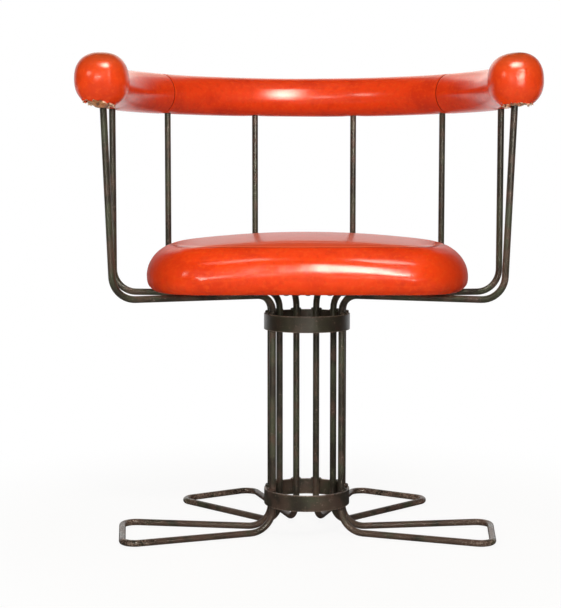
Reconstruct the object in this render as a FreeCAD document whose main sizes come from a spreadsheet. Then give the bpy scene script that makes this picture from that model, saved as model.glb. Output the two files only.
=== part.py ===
"""Tub armchair: four bent iron rods, two column bands, a padded C-shaped rail and a padded seat.

Frame: +Z up, +Y to the back of the chair, +X to the right as seen from the front. The origin is on
the floor, on the axis of the column. Angles go round from the back (+Y) towards +X. Left and right
in names are as seen from the front.
"""
import FreeCAD
import Part
import Sketcher
import math
import os

Vector = FreeCAD.Vector
Rotation = FreeCAD.Rotation
Placement = FreeCAD.Placement
UP = Vector(0, 0, 1)

# Every driving size, in millimetres and degrees.
SIZES = {
    # Round iron bar of the frame and its bends, measured on the bar's centre line.
    "rod_diameter": 10,
    "upright_circle": 302,
    "upright_step_angle": 32,
    "seat_rod_height": 364.5,
    "upright_bend": 35,
    "column_bend": 24,
    "foot_elbow": 35,
    "foot_corner": 20,
    "foot_reach": 280.5,
    "foot_half_width": 72,
    # Flat-bar bands that hold the rods together as a column.
    "band_outside": 130,
    "band_thickness": 4,
    "band_width": 24,
    "band_edge": 0.8,
    "lower_band_base": 45,
    "upper_band_drop": 52.5,
    "band_fit": 0.2,
    # Weld beads.
    "bead_radius": 1.7,
    "bead_angle": 150,
    "weld_gap": 0.1,
    # Rail: a back arc, then two flatter arms that open outwards.
    "rail_height": 675.5,
    "rail_diameter": 65,
    "arm_angle": 80,
    "arm_arc": 410,
    "arm_end_angle": 101.2,
    "knob_diameter": 76.4,
    "knob_neck": 40,
    "seam_angle": 51,
    "core_diameter": 12,
    "core_tip": 36,
    # Upholstery.
    "cover_thickness": 1.6,
    "soft_gap": 0.2,
    "rod_hole_gap": 0.3,
    # Seat outline at its widest: a round back, two front corners and a straight front.
    "seat_radius": 242,
    "seat_front": 126,
    "seat_corner": 85,
    "seat_centre": 58,
    # Seat profile: a shallow dome, from its crown to its fall at the seat's radius, then a full
    # shoulder and a tighter tuck under it.
    "crown_rise": 85,
    "dome_fall": 19.1,
    "shoulder_round": 50,
    "tuck_round": 18,
    # Plywood under the seat, and the leather turned under it.
    "board_inset": 28,
    "board_thickness": 12,
    "turn_under": 38,
    # Saddle clips and the screws that hold them to the board.
    "clip_circle": 140,
    "clip_width": 16,
    "clip_thickness": 1.5,
    "clip_ear": 15,
    "screw_diameter": 4,
    "screw_length": 9,
    "screw_head_diameter": 8,
    "screw_head_height": 2.5,
    "screw_fit": 0.1,
}

doc = FreeCAD.newDocument("tub_armchair")
sheet = doc.addObject("Spreadsheet::Sheet", "sizes")
for row, (alias, value) in enumerate(SIZES.items(), start=1):
    sheet.set(f"A{row}", alias)
    sheet.set(f"B{row}", str(value))
    sheet.setAlias(f"B{row}", alias)
doc.recompute()


def size(alias):
    """A driving size as the sheet holds it."""
    return float(sheet.get(alias))


def bind(thing, **expressions):
    """Tie properties of an object to expressions on the sheet."""
    for name, expression in expressions.items():
        thing.setExpression(name, expression)


def spoke(angle, radius, height):
    """The point at a plan angle, radius and height."""
    turn = math.radians(angle)
    return Vector(radius * math.sin(turn), radius * math.cos(turn), height)


def along(angle):
    """The level direction in which plan angles grow."""
    turn = math.radians(angle)
    return Vector(math.cos(turn), -math.sin(turn), 0)


def mirrored(point):
    """The same point on the chair's other side."""
    return Vector(-point.x, point.y, point.z)


def base_plane(body, role):
    """One of a body's own origin planes."""
    return next(f for f in body.Origin.OriginFeatures if f.Role == role)


def sketch_on(body, name, role):
    """A sketch on one of a body's origin planes."""
    sketch = body.newObject("Sketcher::SketchObject", name)
    sketch.AttachmentSupport = [(base_plane(body, role), "")]
    sketch.MapMode = "FlatFace"
    return sketch


def constrain(sketch, *terms):
    """Add one constraint and return its number."""
    return sketch.addConstraint(Sketcher.Constraint(*terms))


def dimension(sketch, expression, *terms):
    """Add one dimension and tie it to the sheet."""
    number = constrain(sketch, *terms)
    sketch.setExpression(f"Constraints[{number}]", expression)


def circle_at_origin(sketch, radius, expression):
    """A dimensioned circle round the sketch's origin."""
    circle = sketch.addGeometry(Part.Circle(Vector(), UP, radius))
    constrain(sketch, "Coincident", circle, 3, -1, 1)
    dimension(sketch, expression, "Radius", circle, radius)


def swept_bar(name, edges, start, heading, radius):
    """A round bar along a path of tangent lines and arcs."""
    path = doc.addObject("Part::Feature", name + "_path")
    path.Shape = Part.Wire(edges)
    section = doc.addObject("Part::Circle", name + "_section")
    bind(section, Radius=radius)
    section.Placement = Placement(start, Rotation(UP, heading))
    bar = doc.addObject("Part::Sweep", name)
    bar.Sections = [section]
    bar.Spine = (path, [])
    bar.Solid = True
    return bar


def cut(name, base, tool):
    """One object less another."""
    result = doc.addObject("Part::Cut", name)
    result.Base = base
    result.Tool = tool
    return result


def joined(name, *pieces):
    """Several objects fused to one."""
    result = doc.addObject("Part::MultiFuse", name)
    result.Shapes = list(pieces)
    return result


def grouped(name, pieces):
    """Separate like pieces under one name."""
    result = doc.addObject("Part::Compound", name)
    result.Links = pieces
    return result


nodes = []

# Places that several pieces share.
ROD_RADIUS = size("rod_diameter") / 2
HALF_STEP = size("upright_step_angle") / 2
COLUMN_CIRCLE = size("band_outside") / 2 - size("band_thickness") - size("band_fit") - ROD_RADIUS
CORE_UNDERSIDE = size("rail_height") - size("core_diameter") / 2
LOOPS = {
    "front_left_rod": -3 * size("upright_step_angle"),
    "rear_left_rod": -size("upright_step_angle"),
    "rear_right_rod": size("upright_step_angle"),
    "front_right_rod": 3 * size("upright_step_angle"),
}
UPRIGHTS = [angle + side * HALF_STEP for angle in LOOPS.values() for side in (-1, 1)]


def rail_radius(angle):
    """How far from the column axis the rail's centre line is at a plan angle."""
    if abs(angle) <= size("arm_angle"):
        return size("upright_circle")
    offset = size("arm_arc") - size("upright_circle")
    turn = math.radians(abs(angle) - size("arm_angle"))
    reach = math.sqrt(size("arm_arc") ** 2 - (offset * math.sin(turn)) ** 2)
    return reach - offset * math.cos(turn)


def upright_foot(angle):
    """Where the line of an upright meets the line of the rod under the seat."""
    return spoke(angle, size("upright_circle"), size("seat_rod_height"))


def upright_top(angle):
    """The end of an upright, under the rail's core bar."""
    return spoke(angle, rail_radius(angle), CORE_UNDERSIDE - size("weld_gap"))


def bent_edges(corners, bends):
    """Straight runs through the corners, with a tangent arc at each inner corner."""
    edges = []
    start = corners[0]
    for before, corner, after, bend in zip(corners, corners[1:], corners[2:], bends):
        into = (corner - before).normalize()
        out = (after - corner).normalize()
        half_turn = into.getAngle(out) / 2
        reach = bend * math.tan(half_turn)
        depth = bend / math.cos(half_turn) - bend
        arc_start = corner - into * reach
        arc_end = corner + out * reach
        middle = corner + (out - into).normalize() * depth
        edges.append(Part.makeLine(start, arc_start))
        edges.append(Part.Arc(arc_start, middle, arc_end).toShape())
        start = arc_end
    edges.append(Part.makeLine(start, corners[-1]))
    return edges


def frame_rod(name, loop_angle):
    """One rod: down an upright, under the seat, down the column, round a foot and back up."""
    outward = spoke(loop_angle, 1, 0)
    across = along(loop_angle)
    corners = []
    for side in (-1, 1):
        angle = loop_angle + side * HALF_STEP
        foot = outward * size("foot_reach") + across * side * size("foot_half_width")
        half = [
            upright_top(angle),
            upright_foot(angle),
            spoke(angle, COLUMN_CIRCLE, size("seat_rod_height")),
            spoke(angle, COLUMN_CIRCLE, ROD_RADIUS),
            foot + UP * ROD_RADIUS,
        ]
        corners += half if side < 0 else half[::-1]
    bends = [size(b) for b in ("upright_bend", "column_bend", "foot_elbow", "foot_corner")]
    edges = bent_edges(corners, bends + bends[::-1])
    return swept_bar(name, edges, corners[0], corners[1] - corners[0], "sizes.rod_diameter / 2")


for rod_name, rod_angle in LOOPS.items():
    nodes.append(frame_rod(rod_name, rod_angle))


# The lower band is placed from the floor, the upper one from the rods under the seat.
LOWER_BAND_BASE = "sizes.lower_band_base"
UPPER_BAND_BASE = "sizes.seat_rod_height - sizes.upper_band_drop"


def column_band(name, base):
    """A hoop of flat bar round the eight column rods."""
    body = doc.addObject("PartDesign::Body", name)
    ring = sketch_on(body, name + "_ring", "XY_Plane")
    outside = size("band_outside") / 2
    circle_at_origin(ring, outside, "sizes.band_outside / 2")
    circle_at_origin(ring, outside - size("band_thickness"),
                     "sizes.band_outside / 2 - sizes.band_thickness")
    hoop = body.newObject("PartDesign::Pad", name + "_hoop")
    hoop.Profile = ring
    bind(hoop, Length="sizes.band_width")
    doc.recompute()
    rims = [f"Edge{n}" for n, e in enumerate(hoop.Shape.Edges, start=1) if e.isClosed()]
    eased = body.newObject("PartDesign::Fillet", name + "_eased")
    eased.Base = (hoop, rims)
    bind(eased, Radius="sizes.band_edge")
    body.Tip = eased
    bind(body, **{"Placement.Base.z": base})
    return body


nodes.append(column_band("upper_band", UPPER_BAND_BASE))
nodes.append(column_band("lower_band", LOWER_BAND_BASE))


def weld_bead(name, centre, heading, turn):
    """A bead of weld bent round a rod, open on the side away from its heading."""
    bead = doc.addObject("Part::Torus", name)
    bind(bead, Radius1="sizes.rod_diameter / 2 + sizes.weld_gap + sizes.bead_radius",
         Radius2="sizes.bead_radius", Angle3=turn)
    start = Rotation(UP, -size("bead_angle") / 2)
    bead.Placement = Placement(centre, Rotation(Vector(1, 0, 0), heading) * start)
    return bead


BEAD_RISE = "sizes.band_width + sizes.weld_gap + sizes.bead_radius"


def band_welds(name, base):
    """The beads that hold the column rods to the top edge of a band."""
    beads = []
    for number, angle in enumerate(UPRIGHTS, start=1):
        bead = weld_bead(f"{name}_{number}", spoke(angle, COLUMN_CIRCLE, 0), spoke(angle, 1, 0),
                         "sizes.bead_angle")
        bind(bead, **{"Placement.Base.z": f"{base} + {BEAD_RISE}"})
        beads.append(bead)
    return grouped(name, beads)


nodes.append(band_welds("upper_band_welds", UPPER_BAND_BASE))
nodes.append(band_welds("lower_band_welds", LOWER_BAND_BASE))


def rail_point(angle):
    """A point of the rail's centre line on the back arc."""
    return spoke(angle, size("upright_circle"), size("rail_height"))


def arm_point(angle):
    """A point of the right arm's centre line, by the angle about the arm's own centre."""
    centre = spoke(size("arm_angle"), size("upright_circle") - size("arm_arc"), size("rail_height"))
    return centre + spoke(angle, size("arm_arc"), 0)


def arc_between(point_at, first, last):
    """The arc from one angle to another."""
    return Part.Arc(point_at(first), point_at((first + last) / 2), point_at(last)).toShape()


def left_arm_point(angle):
    """A point of the left arm's centre line."""
    return mirrored(arm_point(-angle))


ARM = size("arm_angle")
ARM_END = size("arm_end_angle")
SEAM = size("seam_angle")


def whole_rail_edges():
    """The rail's centre line from the left arm's end to the right arm's end."""
    return [
        arc_between(left_arm_point, -ARM_END, -ARM),
        arc_between(rail_point, -ARM, 0),
        arc_between(rail_point, 0, ARM),
        arc_between(arm_point, ARM, ARM_END),
    ]


def core_edges():
    """The core bar's line: the rail's line, run on straight into both knobs."""
    tip = arm_point(ARM_END) + along(ARM_END) * size("core_tip")
    left = Part.makeLine(mirrored(tip), left_arm_point(-ARM_END))
    right = Part.makeLine(arm_point(ARM_END), tip)
    return [left] + whole_rail_edges() + [right], mirrored(tip)


def core_bar(name, radius):
    """A bar along the core's line."""
    edges, start = core_edges()
    return swept_bar(name, edges, start, along(-ARM_END), radius)


nodes.append(core_bar("rail_core", "sizes.core_diameter / 2"))

core_beads = []
for bead_number, bead_angle in enumerate(UPRIGHTS, start=1):
    below = UP * (size("bead_radius") + size("weld_gap"))
    core_beads.append(weld_bead(f"core_weld_{bead_number}", upright_top(bead_angle) - below,
                                spoke(bead_angle, 1, 0), "360"))
nodes.append(grouped("core_welds", core_beads))


def total(terms):
    """The sum of some sizes, where a minus before a name takes that size away."""
    return sum(-size(term[1:]) if term.startswith("-") else size(term) for term in terms)


def sum_of(terms):
    """The same sum as an expression on the sheet."""
    signed = [f" - sizes.{term[1:]}" if term.startswith("-") else f" + sizes.{term}" for term in terms]
    return "(0" + "".join(signed) + ")"


# How far inside the outer surface of the upholstery each layer lies.
COVER_OUTSIDE = []
COVER_INSIDE = ["cover_thickness"]
PADDING_OUTSIDE = ["cover_thickness", "soft_gap"]


def knob(name, inset, side):
    """The round end of an arm: a ball with a soft neck that starts at the arm's own thickness."""
    tube = size("rail_diameter") / 2 - total(inset)
    ball = size("knob_diameter") / 2 - total(inset)
    neck = size("knob_neck") + total(inset)
    reach = math.sqrt((neck + ball) ** 2 - (tube + neck) ** 2)
    touch = math.atan2(reach, tube + neck)
    body = doc.addObject("PartDesign::Body", name)
    outline = sketch_on(body, name + "_outline", "XZ_Plane")
    base = outline.addGeometry(Part.LineSegment(Vector(), Vector(tube, 0, 0)))
    hollow = outline.addGeometry(Part.ArcOfCircle(
        Part.Circle(Vector(tube + neck, 0, 0), UP, neck), math.pi - touch, math.pi))
    round_end = outline.addGeometry(Part.ArcOfCircle(
        Part.Circle(Vector(0, reach, 0), UP, ball), -touch, math.pi / 2))
    axis = outline.addGeometry(Part.LineSegment(Vector(0, reach + ball, 0), Vector()))
    constrain(outline, "Coincident", base, 1, -1, 1)
    constrain(outline, "Horizontal", base)
    constrain(outline, "Coincident", base, 2, hollow, 2)
    constrain(outline, "PointOnObject", hollow, 3, -1)
    constrain(outline, "Tangent", hollow, 1, round_end, 1)
    constrain(outline, "PointOnObject", round_end, 3, -2)
    constrain(outline, "Coincident", round_end, 2, axis, 1)
    constrain(outline, "Coincident", axis, 2, -1, 1)
    constrain(outline, "Vertical", axis)
    dimension(outline, f"sizes.rail_diameter / 2 - {sum_of(inset)}", "Distance", base, tube)
    dimension(outline, f"sizes.knob_neck + {sum_of(inset)}", "Radius", hollow, neck)
    dimension(outline, f"sizes.knob_diameter / 2 - {sum_of(inset)}", "Radius", round_end, ball)
    turned = body.newObject("PartDesign::Revolution", name + "_turned")
    turned.Profile = outline
    turned.ReferenceAxis = (outline, ["V_Axis"])
    turned.Angle = 360
    body.Tip = turned
    end, heading = arm_point(ARM_END), along(ARM_END)
    if side < 0:
        end, heading = mirrored(end), mirrored(heading)
    body.Placement = Placement(end, Rotation(UP, heading))
    return body


def rod_bores(name, angles, radius):
    """Holes through the rail's underside for the uprights at some angles."""
    bores = []
    for number, angle in enumerate(angles, start=1):
        bore = doc.addObject("Part::Cylinder", f"{name}_{number}")
        bind(bore, Radius=radius, Height="sizes.knob_diameter")
        top = upright_top(angle)
        bore.Placement = Placement(top, Rotation(UP, upright_foot(angle) - top))
        bores.append(bore)
    return joined(name, *bores)


HOLE_RADIUS = "sizes.rod_diameter / 2 + sizes.rod_hole_gap"
WELD_HOLE_RADIUS = HOLE_RADIUS + " + 2 * sizes.bead_radius"


def roll(name, edges, start, heading, inset):
    """A round roll of upholstery along part of the rail, at one layer."""
    radius = f"sizes.rail_diameter / 2 - {sum_of(inset)}"
    return swept_bar(name, edges, start, heading, radius)


def back_roll(name, inset):
    """The roll between the two seams."""
    edges = [arc_between(rail_point, -SEAM, 0), arc_between(rail_point, 0, SEAM)]
    return roll(name, edges, rail_point(-SEAM), along(-SEAM), inset)


def right_arm_roll(name, inset):
    """The roll from the right seam to the tip of the knob."""
    edges = [arc_between(rail_point, SEAM, ARM), arc_between(arm_point, ARM, ARM_END)]
    tube = roll(name + "_tube", edges, rail_point(SEAM), along(SEAM), inset)
    return joined(name, tube, knob(name + "_knob", inset, 1))


def bored_shell(name, outside, inside, angles):
    """A leather skin between two rolls, holed for the uprights that pass through it."""
    skin = cut(name + "_skin", outside, inside)
    return cut(name, skin, rod_bores(name + "_holes", angles, HOLE_RADIUS))


BACK_UPRIGHTS = [angle for angle in UPRIGHTS if abs(angle) < SEAM]
RIGHT_ARM_UPRIGHTS = [angle for angle in UPRIGHTS if angle > SEAM]

whole_tube = roll("padding_tube", whole_rail_edges(), left_arm_point(-ARM_END), along(-ARM_END),
                  PADDING_OUTSIDE)
padding_roll = joined("padding_roll", whole_tube, knob("padding_left_knob", PADDING_OUTSIDE, -1),
                      knob("padding_right_knob", PADDING_OUTSIDE, 1))
padding_hollow = joined("padding_hollow",
                        core_bar("padding_core_bore", "sizes.core_diameter / 2 + sizes.soft_gap"),
                        rod_bores("padding_bores", UPRIGHTS, WELD_HOLE_RADIUS))
nodes.append(cut("rail_padding", padding_roll, padding_hollow))

nodes.append(bored_shell("rail_cover_back", back_roll("back_outside", COVER_OUTSIDE),
                         back_roll("back_inside", COVER_INSIDE), BACK_UPRIGHTS))
right_arm = bored_shell("rail_cover_right_arm", right_arm_roll("arm_outside", COVER_OUTSIDE),
                        right_arm_roll("arm_inside", COVER_INSIDE), RIGHT_ARM_UPRIGHTS)
left_arm = doc.addObject("Part::Mirroring", "rail_cover_left_arm")
left_arm.Source = right_arm
left_arm.Normal = Vector(1, 0, 0)
nodes += [right_arm, left_arm]

# The seat rests on the rods, so its heights are counted from their top.
SEAT_BASE = "(sizes.seat_rod_height + sizes.rod_diameter / 2 + sizes.soft_gap)"
DOME_RADIUS = "((sizes.seat_radius ^ 2 + sizes.dome_fall ^ 2) / (2 * sizes.dome_fall))"


def seat_outline(body, name, inset, height):
    """The seat's plan outline, drawn in by an inset: round back, corners and straight front."""
    radius, corner = size("seat_radius"), size("seat_corner")
    front = size("seat_front")
    corner_y = corner - front
    corner_x = math.sqrt((radius - corner) ** 2 - corner_y ** 2)
    meet = math.atan2(corner_y, corner_x)
    outline = sketch_on(body, name, "XY_Plane")
    edge = outline.addGeometry(Part.LineSegment(Vector(-corner_x, -front, 0),
                                                Vector(corner_x, -front, 0)))
    right_corner = outline.addGeometry(Part.ArcOfCircle(
        Part.Circle(Vector(corner_x, corner_y, 0), UP, corner), -math.pi / 2, meet))
    right_back = outline.addGeometry(Part.ArcOfCircle(
        Part.Circle(Vector(), UP, radius), meet, math.pi / 2))
    left_back = outline.addGeometry(Part.ArcOfCircle(
        Part.Circle(Vector(), UP, radius), math.pi / 2, math.pi - meet))
    left_corner = outline.addGeometry(Part.ArcOfCircle(
        Part.Circle(Vector(-corner_x, corner_y, 0), UP, corner), math.pi - meet, 1.5 * math.pi))
    constrain(outline, "Tangent", edge, 2, right_corner, 1)
    constrain(outline, "Tangent", right_corner, 2, right_back, 1)
    constrain(outline, "Coincident", right_back, 2, left_back, 1)
    constrain(outline, "Tangent", left_back, 2, left_corner, 1)
    constrain(outline, "Tangent", left_corner, 2, edge, 1)
    constrain(outline, "Coincident", right_back, 3, left_back, 3)
    constrain(outline, "Coincident", right_back, 3, -1, 1)
    constrain(outline, "PointOnObject", right_back, 2, -2)
    constrain(outline, "Horizontal", edge)
    constrain(outline, "Equal", right_corner, left_corner)
    depth = sum_of(inset)
    dimension(outline, f"sizes.seat_radius - {depth}", "Radius", right_back, radius)
    dimension(outline, f"sizes.seat_corner - {depth}", "Radius", right_corner, corner)
    dimension(outline, f"sizes.seat_front - {depth}", "DistanceY", edge, 1, -1, 1, front)
    bind(outline, **{"AttachmentOffset.Base.z": height})
    return outline


def cushion(name, inset):
    """One layer of the seat: a block of the outline, domed on top and rounded all round."""
    depth = sum_of(inset)
    body = doc.addObject("PartDesign::Body", name + "_block")
    block = body.newObject("PartDesign::Pad", name + "_pad")
    block.Profile = seat_outline(body, name + "_outline", inset, f"{SEAT_BASE} + {depth}")
    bind(block, Length="sizes.crown_rise")
    body.Tip = block
    dome = doc.addObject("Part::Sphere", name + "_dome")
    bind(dome, Radius=f"{DOME_RADIUS} - {depth}")
    bind(dome, **{"Placement.Base.y": "sizes.seat_centre",
                  "Placement.Base.z": f"{SEAT_BASE} + sizes.crown_rise - {DOME_RADIUS}"})
    domed = doc.addObject("Part::Common", name + "_domed")
    domed.Base = body
    domed.Tool = dome
    doc.recompute()
    floor = domed.Shape.BoundBox.ZMin
    rounds = []
    for number, edge in enumerate(domed.Shape.Edges, start=1):
        heights = [vertex.Z - floor for vertex in edge.Vertexes]
        if max(heights) < size("tuck_round"):
            rounds.append((number, size("tuck_round") - total(inset)))
        elif min(heights) > size("tuck_round"):
            rounds.append((number, size("shoulder_round") - total(inset)))
    rounded = doc.addObject("Part::Fillet", name)
    rounded.Base = domed
    rounded.Edges = [(number, radius, radius) for number, radius in rounds]
    return rounded


def outline_block(name, inset, height, length):
    """A flat slab of the seat's outline, drawn in by an inset."""
    body = doc.addObject("PartDesign::Body", name)
    slab = body.newObject("PartDesign::Pad", name + "_pad")
    slab.Profile = seat_outline(body, name + "_outline", inset, height)
    bind(slab, Length=length)
    body.Tip = slab
    return body


BOARD_BASE = f"{SEAT_BASE} + sizes.cover_thickness + sizes.soft_gap"

seat_skin = cut("seat_skin", cushion("seat_outside", COVER_OUTSIDE),
                cushion("seat_inside", COVER_INSIDE))
seat_mouth = outline_block("seat_mouth", ["tuck_round", "turn_under"],
                           f"{SEAT_BASE} - sizes.cover_thickness", "3 * sizes.cover_thickness")
nodes.append(cut("seat_cover", seat_skin, seat_mouth))

board_room = outline_block("board_room", ["board_inset", "-soft_gap"], SEAT_BASE,
                           f"{BOARD_BASE} - {SEAT_BASE} + sizes.board_thickness + sizes.soft_gap")
nodes.append(cut("seat_padding", cushion("seat_stuffing", PADDING_OUTSIDE), board_room))

# Saddle clips hold the board to the rods where the seat hides them.
CLIP_ANGLES = {
    "seat_clip_left": -2.5 * size("upright_step_angle"),
    "seat_clip_rear_left": -0.5 * size("upright_step_angle"),
    "seat_clip_rear_right": 0.5 * size("upright_step_angle"),
    "seat_clip_right": 2.5 * size("upright_step_angle"),
}
EAR_TOP = "(sizes.rod_diameter / 2 + 2 * sizes.soft_gap + sizes.cover_thickness)"
CLIP_INSIDE = "(sizes.rod_diameter / 2 + sizes.soft_gap)"
SCREW_REACH = f"({CLIP_INSIDE} + sizes.clip_thickness + sizes.clip_ear / 2)"


def saddle_sketch(body, name, radius):
    """A half round under the rod with straight sides up to the ears."""
    outer, top = size("rod_diameter"), size("rod_diameter")
    outline = sketch_on(body, name, "YZ_Plane")
    right = outline.addGeometry(Part.LineSegment(Vector(outer, 0, 0), Vector(outer, top, 0)))
    lid = outline.addGeometry(Part.LineSegment(Vector(outer, top, 0), Vector(-outer, top, 0)))
    left = outline.addGeometry(Part.LineSegment(Vector(-outer, top, 0), Vector(-outer, 0, 0)))
    under = outline.addGeometry(Part.ArcOfCircle(
        Part.Circle(Vector(), UP, outer), math.pi, 2 * math.pi))
    constrain(outline, "Coincident", right, 2, lid, 1)
    constrain(outline, "Coincident", lid, 2, left, 1)
    constrain(outline, "Tangent", left, 2, under, 1)
    constrain(outline, "Tangent", under, 2, right, 1)
    constrain(outline, "Vertical", right)
    constrain(outline, "Vertical", left)
    constrain(outline, "Horizontal", lid)
    constrain(outline, "Coincident", under, 3, -1, 1)
    dimension(outline, radius, "Radius", under, outer)
    dimension(outline, EAR_TOP, "DistanceY", right, 1, right, 2, top)
    return outline


def saddle_clip(name, angle):
    """A bent strap round one rod, with an ear on each side for a screw."""
    body = doc.addObject("PartDesign::Body", name)
    strap = body.newObject("PartDesign::Pad", name + "_strap")
    strap.Profile = saddle_sketch(body, name + "_outside", f"{CLIP_INSIDE} + sizes.clip_thickness")
    strap.Midplane = True
    bind(strap, Length="sizes.clip_width")
    ears = sketch_on(body, name + "_ears_outline", "XY_Plane")
    half_long, half_wide = size("clip_ear") * 2, size("clip_width") / 2
    corners = [Vector(-half_wide, -half_long, 0), Vector(half_wide, -half_long, 0),
               Vector(half_wide, half_long, 0), Vector(-half_wide, half_long, 0)]
    sides = [ears.addGeometry(Part.LineSegment(a, b))
             for a, b in zip(corners, corners[1:] + corners[:1])]
    for this, following in zip(sides, sides[1:] + sides[:1]):
        constrain(ears, "Coincident", this, 2, following, 1)
    for number, direction in enumerate(("Horizontal", "Vertical", "Horizontal", "Vertical")):
        constrain(ears, direction, sides[number])
    constrain(ears, "Symmetric", sides[0], 1, sides[1], 2, -1, 1)
    dimension(ears, "sizes.clip_width", "Distance", sides[0], 2 * half_wide)
    dimension(ears, f"2 * ({CLIP_INSIDE} + sizes.clip_thickness + sizes.clip_ear)",
              "Distance", sides[1], 2 * half_long)
    bind(ears, **{"AttachmentOffset.Base.z": f"{EAR_TOP} - sizes.clip_thickness"})
    plate = body.newObject("PartDesign::Pad", name + "_ears")
    plate.Profile = ears
    bind(plate, Length="sizes.clip_thickness")
    saddle = body.newObject("PartDesign::Pocket", name + "_saddle")
    saddle.Profile = saddle_sketch(body, name + "_inside", CLIP_INSIDE)
    saddle.Midplane = True
    bind(saddle, Length="2 * sizes.clip_width")
    holes = sketch_on(body, name + "_hole_circles", "XY_Plane")
    for side in (-1, 1):
        hole = holes.addGeometry(Part.Circle(Vector(0, side * half_long / 2, 0), UP, 1))
        constrain(holes, "PointOnObject", hole, 3, -2)
        dimension(holes, "sizes.screw_diameter / 2 + sizes.screw_fit", "Radius", hole, 1)
        ends = (-1, 1, hole, 3) if side > 0 else (hole, 3, -1, 1)
        dimension(holes, SCREW_REACH, "DistanceY", *ends, half_long / 2)
    drilled = body.newObject("PartDesign::Pocket", name + "_holes")
    drilled.Profile = holes
    drilled.Reversed = True
    bind(drilled, Length="2 * sizes.rod_diameter")
    body.Tip = drilled
    body.Placement = clip_place(angle)
    return body


def clip_place(angle):
    """A clip's place: on a rod's centre line, its X axis along the rod."""
    centre = spoke(angle, size("clip_circle"), size("seat_rod_height"))
    return Placement(centre, Rotation(Vector(1, 0, 0), spoke(angle, 1, 0)))


nodes += [saddle_clip(clip_name, clip_angle) for clip_name, clip_angle in CLIP_ANGLES.items()]

INSIDE = ROD_RADIUS + size("soft_gap")
HOLE_OFFSET = INSIDE + size("clip_thickness") + size("clip_ear") / 2
EAR_UNDERSIDE = ROD_RADIUS + 2 * size("soft_gap") + size("cover_thickness") - size("clip_thickness")
SCREW_PLACES = [
    clip_place(angle) * Placement(Vector(0, side * HOLE_OFFSET, EAR_UNDERSIDE), Rotation())
    for angle in CLIP_ANGLES.values() for side in (-1, 1)
]


def shank(name, place, radius, extra):
    """A round shank from the underside of a clip's ear up into the board."""
    pin = doc.addObject("Part::Cylinder", name)
    bind(pin, Radius=radius, Height=f"sizes.screw_length + {extra}")
    pin.Placement = place
    return pin


def clip_screw(name, place):
    """A screw with a tapered head under the ear."""
    pin = shank(name + "_shank", place, "sizes.screw_diameter / 2", "0")
    head = doc.addObject("Part::Cone", name + "_head")
    bind(head, Radius1="sizes.screw_diameter / 2", Radius2="sizes.screw_head_diameter / 2",
         Height="sizes.screw_head_height")
    drop = Vector(0, 0, -size("screw_head_height"))
    head.Placement = place * Placement(drop, Rotation())
    return joined(name, pin, head)


nodes.append(grouped("seat_screws", [clip_screw(f"seat_screw_{n}", place)
                                     for n, place in enumerate(SCREW_PLACES, start=1)]))

board_blank = outline_block("board_blank", ["board_inset"], BOARD_BASE, "sizes.board_thickness")
pilots = joined("board_pilots", *[
    shank(f"board_pilot_{n}", place, "sizes.screw_diameter / 2 + sizes.screw_fit", "sizes.screw_fit")
    for n, place in enumerate(SCREW_PLACES, start=1)])
nodes.append(cut("seat_board", board_blank, pilots))

doc.recompute()
for thing in doc.Objects:
    if {"Invalid", "Error"} & set(thing.State):
        raise RuntimeError(f"{thing.Name} failed: {thing.State}")
for node in nodes:
    if node.Shape.isNull() or not node.Shape.isValid():
        raise RuntimeError(f"{node.Label} has no valid shape")

os.makedirs("parts", exist_ok=True)
for node in nodes:
    node.Shape.exportStep(f"parts/{node.Label}.step")
    print(f"{node.Label}: {len(node.Shape.Solids)} solids, {node.Shape.Volume / 1000:.1f} cm3")
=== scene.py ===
"""Looks of the iron tub armchair: old iron rods, two bands, a torn leather rail and a leather seat."""

import random
from math import acos, atan2, copysign, cos, exp, hypot, pi, radians, sin, sqrt

import bpy
from mathutils import Matrix, Vector, noise


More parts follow.
